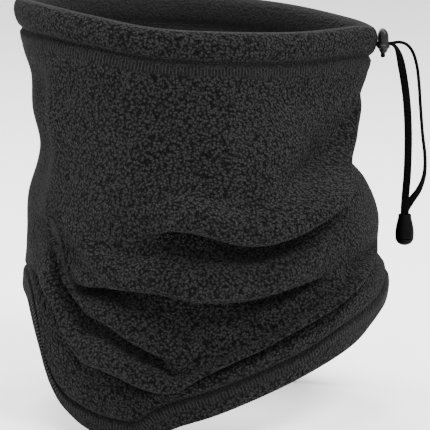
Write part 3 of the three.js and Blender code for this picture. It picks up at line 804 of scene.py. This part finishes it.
def soft_shape(degrees, height):
    """Large soft swells, dents and creases between the folds, in millimetres outwards."""
    front = (
        4.5 * blob(degrees, height, -64, 137, 20, 22)
        - 4.2 * blob(degrees, height, -48, 123, 17, 7, 0.62)
        + 2.6 * blob(degrees, height, -36, 116, 18, 9, 0.75)
        + 2.4 * blob(degrees, height, -147, 150, 5.5, 48)
        - 3.0 * blob(degrees, height, -159, 150, 7, 40)
        + 2.6 * blob(degrees, height, -128, 93, 11, 6, -0.7)
        - 3.0 * blob(degrees, height, -127, 83, 8, 5, -0.8)
        - 3.6 * blob(degrees, height, -88, 92, 15, 6)
        - 5.0 * blob(degrees, height, -95, 58, 24, 10)
        - 3.0 * blob(degrees, height, -66, 64, 16, 9, 0.4)
        - 1.8 * blob(degrees, height, -100, 138, 16, 30)
        + 1.6 * blob(degrees, height, -22, 150, 9, 26)
    )
    back = (
        3.5 * blob(degrees, height, 70, 140, 24, 18)
        - 3.0 * blob(degrees, height, 112, 134, 18, 8, -0.5)
        + 2.0 * blob(degrees, height, 150, 150, 8, 40)
        - 2.0 * blob(degrees, height, 35, 152, 8, 30)
    )
    turn = np.radians(degrees)
    ripple = (
        0.5 * np.sin(3 * turn + height / 17)
        + 0.35 * np.sin(7 * turn - height / 11 + 1)
        + 0.22 * np.sin(13 * turn + height / 7.5 + 2)
    )
    return front + back + ripple


def draped_rows(places):
    """Points of the outer face, columns by rows, at these places between hem 0 and rim RIM_HEIGHT."""
    samples = 321
    middle = np.array([spline(fold_controls(d), samples) for d in (degrees_of + 180) % 360 - 180])
    middle = smooth_around(middle, 3)
    degrees = degrees_of[:, None]
    along = np.linspace(0, 1, samples)
    edge = np.clip(along * 12, 0, 1) * np.clip((1 - along) * 12, 0, 1)
    push = middle[..., 0] + soft_shape(degrees, middle[..., 1]) * edge
    height = middle[..., 1]
    rim = RIM_HEIGHT - rim_dip(degrees_of)
    hem = hem_rise(degrees_of)
    widening = hem_widening(degrees_of)
    rows_push, rows_height = [], []
    for place in places:
        below_rim = RIM_HEIGHT - place
        if place <= BOTTOM_BAND:
            rows_push.append(push[:, -1])
            rows_height.append(hem + place * widening)
        elif below_rim <= TOP_BAND:
            rows_push.append(push[:, 0])
            rows_height.append(rim - below_rim)
        else:
            share = (below_rim - TOP_BAND) / (RIM_HEIGHT - TOP_BAND - BOTTOM_BAND) * (samples - 1)
            low = int(share)
            part = share - low
            high = min(low + 1, samples - 1)
            rows_push.append(push[:, low] * (1 - part) + push[:, high] * part)
            rows_height.append(height[:, low] * (1 - part) + height[:, high] * part)
    pushes = np.stack(rows_push, axis=1)
    heights = np.stack(rows_height, axis=1)
    return pushed(np.broadcast_to(degrees, heights.shape), heights, pushes)


def row_normals(surface):
    """Outward directions on a grid of columns round the tube and rows up it."""
    around = np.roll(surface, -1, axis=0) - np.roll(surface, 1, axis=0)
    up = np.gradient(surface, axis=1)
    normal = np.cross(around, up)
    normal /= np.linalg.norm(normal, axis=-1, keepdims=True)
    return normal


def edge_section():
    """The closed section of the cloth as (outward, place) points, both edges folded in and sewn."""
    top = RIM_HEIGHT
    span = top - TOP_BAND - BOTTOM_BAND
    middle = [BOTTOM_BAND + span * row / MIDDLE_ROWS for row in range(MIDDLE_ROWS + 1)]
    outer_hem = [
        (-1.3, 0.0), (-0.4, 0.5), (0.0, 1.6), (0.3, 3.6), (0.35, 6.0), (0.25, 8.5), (0.1, 10.8),
        (-0.6, 12.3), (-1.4, 13.0), (-0.6, 13.7), (0.0, 15.0), (0.0, 17.0),
    ]
    outer_rim = [
        (0.0, 24.0), (0.0, 22.0), (0.1, 20.0), (0.05, 18.0), (-0.1, 16.4), (-0.8, 15.2), (-1.5, 14.5),
        (-0.7, 13.8), (0.4, 12.4), (1.0, 10.4), (1.25, 8.0), (1.15, 5.8), (0.7, 3.8), (0.0, 2.2),
        (-1.0, 1.0),
        (-2.3, 0.25), (-3.6, 0.0),
    ]
    inner_rim = [
        (-4.9, 0.3), (-6.0, 1.1), (-6.8, 2.6), (-7.1, 4.8), (-7.0, 8.0), (-6.6, 11.0), (-5.7, 13.3),
        (-4.8, 14.5),
        (-4.7, 16.5), (-4.65, 18.5), (-4.65, 20.5), (-4.5, 22.2), (-3.9, 23.0), (-2.9, 23.1),
    ]
    hidden_rim = [
        (-2.45, 22.2), (-2.45, 15.0), (-3.0, 13.4), (-4.3, 11.0), (-4.8, 8.0), (-4.7, 5.0), (-4.1, 3.2),
        (-3.4, 2.6), (-2.6, 3.0), (-1.8, 4.6), (-1.4, 7.0), (-1.5, 10.0), (-2.0, 12.6), (-2.2, 15.0),
        (-2.2, 22.0), (-2.2, 24.0),
    ]
    inner_hem = [
        (-2.2, 17.0), (-2.2, 15.6), (-2.2, 3.2), (-2.32, 2.6), (-2.45, 3.2), (-2.45, 14.8), (-2.9, 15.5),
        (-3.9, 15.5), (-4.5, 14.8), (-4.65, 12.5), (-4.8, 9.0), (-4.75, 5.0), (-4.4, 1.8), (-3.6, 0.5),
        (-2.6, 0.0),
    ]
    return (
        outer_hem
        + [(0.0, place) for place in middle]
        + [(out, top - below) for out, below in outer_rim + inner_rim + hidden_rim]
        + [(-CLOTH, place) for place in middle[::-2]]
        + inner_hem
    )


def seam_groove(degrees, outward):
    """The closing seam draws the cloth in along a line down the back."""
    across = (degrees - SEAM_DEGREES + 180) % 360 - 180
    dip = -0.9 * np.exp(-((across / 0.8) ** 2)) + 0.45 * np.exp(-(((np.abs(across) - 2.2) / 1.1) ** 2))
    return outward + np.where(outward > -1.5, dip, 0)


def stitch_flattening_and_painted_shade(place, degrees):
    """How much the pile is flattened at a place by the stitching in the hems, 0 to 1; the same amount
    darkens the colour as painted shade in the stitch creases.
    """
    top = RIM_HEIGHT - place

    def near(value, middle, half):
        return np.clip(1.6 - np.abs(value - middle) / half, 0, 1)

    needle = np.maximum(near(top, TOP_STITCH, 0.9), near(place, BOTTOM_STITCH, 0.9))
    top_rungs = near(top, (TOP_LADDER_TOP + TOP_LADDER_BOTTOM) / 2, 2.2)
    bottom_rungs = near(place, (BOTTOM_LADDER_TOP + BOTTOM_LADDER_BOTTOM) / 2, 2.2)
    return np.maximum(needle, 0.55 * np.maximum(top_rungs, bottom_rungs))


def surface_grid():
    """Places of every row, the draped grid over them and its softened outward directions."""
    places = sorted({round(place, 4) for _, place in edge_section()})
    surface = draped_rows(places)
    steady = row_normals(surface)
    for _ in range(4):
        inner = (steady[:, :-2] + 2 * steady[:, 1:-1] + steady[:, 2:]) / 4
        steady[:, 1:-1] = inner
    steady /= np.linalg.norm(steady, axis=-1, keepdims=True)
    return np.array(places), surface, steady


PLACES, SURFACE, STEADY = surface_grid()


def on_cloth(degrees, place, outward):
    """A point of the draped cloth and the directions round, up and out there."""
    column = (degrees % 360) / 360 * COLUMNS
    left = int(column) % COLUMNS
    right = (left + 1) % COLUMNS
    side = column - int(column)
    row = float(np.interp(place, PLACES, np.arange(len(PLACES))))
    low = min(int(row), len(PLACES) - 2)
    part = row - low

    def at(grid):
        lower = grid[left, low] * (1 - side) + grid[right, low] * side
        upper = grid[left, low + 1] * (1 - side) + grid[right, low + 1] * side
        return lower * (1 - part) + upper * part

    out = at(STEADY)
    out /= np.linalg.norm(out)
    around = SURFACE[right, low] - SURFACE[left, low]
    around -= out * around.dot(out)
    around /= np.linalg.norm(around)
    return at(SURFACE) + out * outward, around, np.cross(out, around), out


def make_fleece(fleece):
    section = edge_section()
    work = spun([((HALF_WIDTH + out) * MM, place * MM) for out, place in section], COLUMNS, closed=True)
    rest = coordinates(work) / MM
    degrees = np.degrees(np.arctan2(rest[:, 1], rest[:, 0]))
    columns = np.round(degrees / 360 * COLUMNS).astype(int) % COLUMNS
    outward = np.hypot(rest[:, 0], rest[:, 1]) - HALF_WIDTH
    rows = np.clip(np.searchsorted(PLACES, rest[:, 2] - 1e-3), 0, len(PLACES) - 1)
    push = seam_groove(degrees, outward)[:, None]
    placed = SURFACE[columns, rows] + STEADY[columns, rows] * push
    placed[:, 2] = np.maximum(placed[:, 2], 0)
    put(work, placed * MM)
    bmesh.ops.recalc_face_normals(work, faces=work.faces)
    piece = finished("draped_fleece", work, fleece)
    inside = np.clip((-outward - 1.2) / 1.2, 0, 1)
    sewn = stitch_flattening_and_painted_shade(rest[:, 2], degrees) * (1 - inside)
    # The sewn amount flattens the pile and also darkens the colour as painted shade along the stitching.
    for name, amount in (("pile", (1 - 0.72 * inside) * (1 - 0.6 * sewn)), ("sewn", sewn)):
        piece.data.attributes.new(name, "FLOAT", "POINT").data.foreach_set("value", amount)
    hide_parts("fleece_tube")
    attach(piece, "root")
    return piece


CAPSULE_STEP = 4


def capsules(marks, half):
    """A capsule for each (middle, direction, outward, length) mark, all in one bmesh."""
    work = bmesh.new()
    bmesh.ops.create_uvsphere(work, u_segments=6, v_segments=4, radius=1)
    made = 1
    while made < len(marks):
        limit = (min(made, len(marks) - made) - 0.5) * CAPSULE_STEP
        copied = [vertex for vertex in work.verts if vertex.co.z < limit]
        for parts in (work.edges, work.faces):
            copied += [part for part in parts if part.verts[0].co.z < limit]
        copy = bmesh.ops.duplicate(work, geom=copied)["geom"]
        moved = [part for part in copy if isinstance(part, bmesh.types.BMVert)]
        bmesh.ops.translate(work, verts=moved, vec=(0, 0, made * CAPSULE_STEP))
        made = min(2 * made, len(marks))
    units = coordinates(work)
    which = np.rint(units[:, 2] / CAPSULE_STEP).astype(int)
    units[:, 2] -= which * CAPSULE_STEP
    middle, direction, out = (np.array([mark[i] for mark in marks]) for i in range(3))
    reach = np.array([mark[3] for mark in marks])[:, None] / 2
    axes = np.stack([np.cross(direction, out) * half[0], out * half[1], direction * reach], axis=1)
    places = middle[which] + np.einsum("vk,vkc->vc", units, axes[which])
    put(work, places * MM)
    return work


def stitches(name, marks, material, node, half):
    """A row of thread capsules as one piece; half is half a stitch's width and height, in millimetres."""
    piece = finished(name, capsules(marks, half), material)
    if node:
        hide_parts(node)
    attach(piece, "root")
    return piece


def ring_angles(place, outward, pitch):
    """Angles round the tube an even pitch apart on a line sewn at a place."""
    fine = np.linspace(0, 360, 721)
    line = np.array([on_cloth(degrees, place, outward)[0] for degrees in fine])
    length = np.concatenate([[0], np.cumsum(np.linalg.norm(np.diff(line, axis=0), axis=1))])
    count = int(length[-1] / pitch)
    return np.interp(np.arange(count) * length[-1] / count, length, fine)


def needle_line(place, outward, pitch, share):
    """A row of stitches end to end along a line sewn at a place."""
    marks = []
    for degrees in ring_angles(place, outward, pitch):
        middle, around, _, out = on_cloth(degrees, place, outward)
        marks.append((middle, around, out, pitch * share))
    return marks


def ladder(low, high, outward, pitch):
    """A row of upright stitches between two places."""
    marks = []
    for degrees in ring_angles((low + high) / 2, outward, pitch):
        middle, _, up, out = on_cloth(degrees, (low + high) / 2, outward)
        marks.append((middle, up / np.linalg.norm(up), out, high - low))
    return marks


NEEDLE_PITCH, RUNG_PITCH, LOOPER_PITCH = 2.0, 1.6, 2.4
NEEDLE_THREAD = (0.26, 0.24)
RUNG_THREAD = (0.26, 0.3)
LOOPER_THREAD = (0.3, 0.25)


def make_stitching(thread):
    top = RIM_HEIGHT
    needle = needle_line(top - TOP_STITCH, -1.45, NEEDLE_PITCH, 0.6)
    stitches("top_needle_line", needle, thread, "top_hem_stitch", NEEDLE_THREAD)
    rungs = ladder(top - TOP_LADDER_BOTTOM, top - TOP_LADDER_TOP, 0.0, RUNG_PITCH)
    stitches("top_cover_stitches", rungs, thread, "top_hem_ladder", RUNG_THREAD)
    needle = needle_line(BOTTOM_STITCH, -1.35, NEEDLE_PITCH, 0.6)
    stitches("bottom_needle_line", needle, thread, "bottom_hem_stitch", NEEDLE_THREAD)
    rungs = ladder(BOTTOM_LADDER_BOTTOM, BOTTOM_LADDER_TOP, 0.12, RUNG_PITCH)
    stitches("bottom_cover_stitches", rungs, thread, "bottom_hem_ladder", RUNG_THREAD)
    looper = []
    for below in (15.6, 18.2, 20.8):
        looper += needle_line(top - below, -4.85, LOOPER_PITCH, 0.8)
    stitches("inner_looper_lines", looper, thread, None, LOOPER_THREAD)


def make_seam(thread):
    """The flat seam that closes the tube: rungs across it and a line of chain stitches on each side."""
    low, high = BOTTOM_STITCH + 2, RIM_HEIGHT - TOP_LADDER_BOTTOM - 2
    fine = np.linspace(low, high, 800)
    line = np.array([on_cloth(SEAM_DEGREES, place, 0)[0] for place in fine])
    length = np.concatenate([[0], np.cumsum(np.linalg.norm(np.diff(line, axis=0), axis=1))])
    count = int(length[-1] / 2.2)
    marks = []
    for i in range(count):
        place = float(np.interp((i + 0.5) * length[-1] / count, length, fine))
        middle, around, up, out = on_cloth(SEAM_DEGREES, place, -0.1)
        slant = around + up * (0.35 if i % 2 else -0.35)
        marks.append((middle, slant / np.linalg.norm(slant), out, 4.4))
        for side in (-1.3, 1.3):
            edge, _, up_edge, out_edge = on_cloth(SEAM_DEGREES + side, place, 0.05)
            marks.append((edge, up_edge, out_edge, 1.7))
    stitches("closing_seam_stitches", marks, thread, "closing_seam", (0.26, 0.26))


# ---------------------------------------------------------------------------------------------
# The scene
# ---------------------------------------------------------------------------------------------

set_camera()
set_lights()

braid = braid_finish()
thread = thread_finish()
# The lock's acetal is the cord end's black plastic given a lighter colour, as painted light for the lit grey
# of its dome.
lock_plastic_painted_lighter = plastic_finish(
    "lock_acetal_painted_light", (0.0016, 0.0016, 0.0018), (0.0036, 0.0036, 0.0040), rough=0.42, shine=0.16
)
end_plastic = plastic_finish(
    "cord_end_acetal", (0.0004, 0.0004, 0.0005), (0.0009, 0.0008, 0.0010), rough=0.6, shine=0.04
)

strand_front, front_path = make_strand("cord_strand_front", FRONT_STRAND, braid)
strand_back, back_path = make_strand("cord_strand_back", BACK_STRAND, braid)
barrel = make_lock(lock_plastic_painted_lighter)
plunger = make_plunger(end_plastic)
spring = make_spring(steel_finish())
bell, plug = make_cord_end(end_plastic)

fleece = make_fleece(fleece_finish())
make_stitching(thread)
make_seam(thread)

for node in ("drawcord_in_channel", "cord_knot"):
    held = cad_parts[node]
    held.data.materials.clear()
    held.data.materials.append(braid)

floor_work = bmesh.new()
bmesh.ops.create_circle(floor_work, cap_ends=True, segments=96, radius=14)
floor = finished("floor", floor_work, floor_finish())
